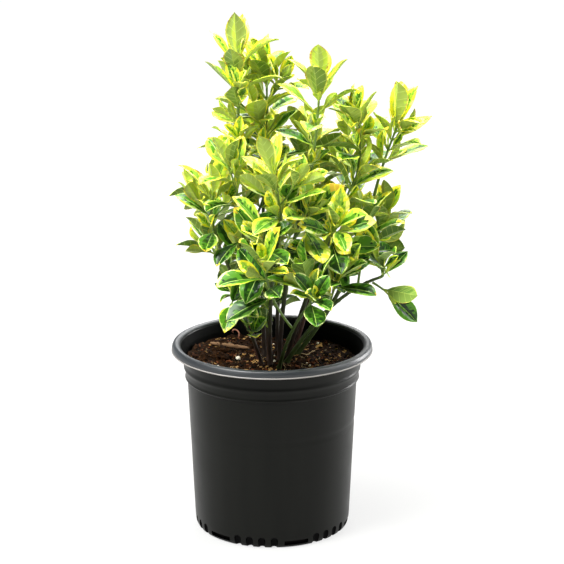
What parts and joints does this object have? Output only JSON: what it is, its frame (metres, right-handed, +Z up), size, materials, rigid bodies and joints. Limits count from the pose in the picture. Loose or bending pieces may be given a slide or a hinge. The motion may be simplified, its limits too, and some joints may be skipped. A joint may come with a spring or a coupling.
{
  "type": "potted variegated japanese spindle shrub",
  "caption": "Young evergreen shrub with gold-edged leaves on several thin stems, standing in the round ribbed black nursery pot it grows in.",
  "frame": {"origin": "middle of the pot's flat underside", "axes": "+Z up; -Y is the front, the side seen in the picture; +X is to the right as seen from the front"},
  "size_m": [0.2877, 0.2882, 0.5839],
  "materials": {
    "pot_plastic": "black moulded polyethylene with a soft satin surface",
    "bark_compost": "damp bark and peat compost with chips and a few white grains",
    "green_bark": "smooth green young bark turning brown near the soil",
    "variegated_leaf": "glossy leathery leaf, green in the middle with a bright yellow margin"
  },
  "bodies": {
    "root": {"pot": "pot_plastic", "soil": "bark_compost", "stem_leader": "green_bark", "stem_back_left": "green_bark", "stem_centre": "green_bark", "stem_front": "green_bark", "stem_right_centre": "green_bark", "stem_right": "green_bark", "branch_low_right": "green_bark", "stem_left": "green_bark", "stem_low_left": "green_bark", "stem_low_front": "green_bark", "stem_back": "green_bark", "stem_back_right": "green_bark", "foliage_leader": "variegated_leaf", "foliage_centre": "variegated_leaf", "foliage_right": "variegated_leaf", "foliage_front": "variegated_leaf", "foliage_right_centre": "variegated_leaf", "foliage_right_front": "variegated_leaf", "foliage_low_front": "variegated_leaf", "foliage_low_right_tip": "variegated_leaf", "foliage_low_right_hanging": "variegated_leaf", "foliage_low_right_middle": "variegated_leaf", "foliage_low_right_front": "variegated_leaf", "foliage_left_front": "variegated_leaf", "foliage_left": "variegated_leaf", "foliage_low_left": "variegated_leaf", "foliage_bright_back": "variegated_leaf", "foliage_middle": "variegated_leaf", "foliage_low_middle": "variegated_leaf", "foliage_left_inner": "variegated_leaf", "foliage_leader_side": "variegated_leaf", "foliage_right_inner": "variegated_leaf", "foliage_centre_back": "variegated_leaf", "foliage_right_side": "variegated_leaf", "foliage_left_side": "variegated_leaf", "foliage_back_middle": "variegated_leaf", "foliage_back_right": "variegated_leaf", "foliage_back_left": "variegated_leaf", "foliage_back_low_left": "variegated_leaf", "foliage_back_low_middle": "variegated_leaf", "foliage_back_low_right": "variegated_leaf", "foliage_back_upper_left": "variegated_leaf", "foliage_back_upper_right": "variegated_leaf"}
  },
  "joints": []
}
